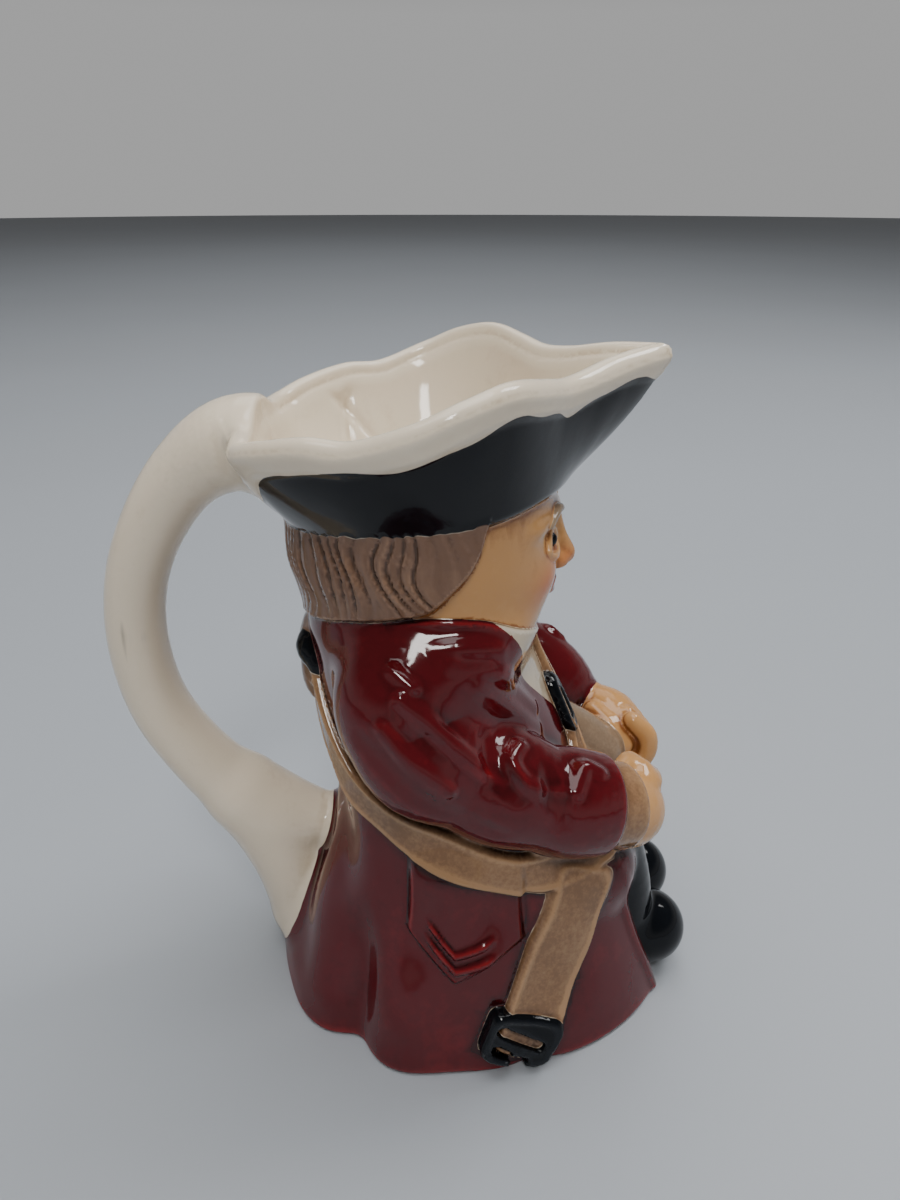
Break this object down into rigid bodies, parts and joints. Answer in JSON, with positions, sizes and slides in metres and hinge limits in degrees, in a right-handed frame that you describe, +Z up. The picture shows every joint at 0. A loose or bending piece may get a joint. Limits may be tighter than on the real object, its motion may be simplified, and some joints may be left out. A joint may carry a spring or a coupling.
{
  "type": "toby jug",
  "caption": "One-piece glazed earthenware toby jug: a seated figure in a coat and three-cornered hat, the hat's rim the mouth and spout, with a loop handle behind.",
  "frame": {"origin": "centre of the flat underside, on the figure's mid-plane", "axes": "+Z up, the figure faces -Y, its right side is -X, and the handle is behind it at +Y"},
  "size_m": [0.1, 0.1482, 0.1655],
  "materials": {
    "glazed_earthenware": "gloss"
  },
  "bodies": {
    "root": {"toby_jug": "glazed_earthenware"}
  },
  "joints": []
}
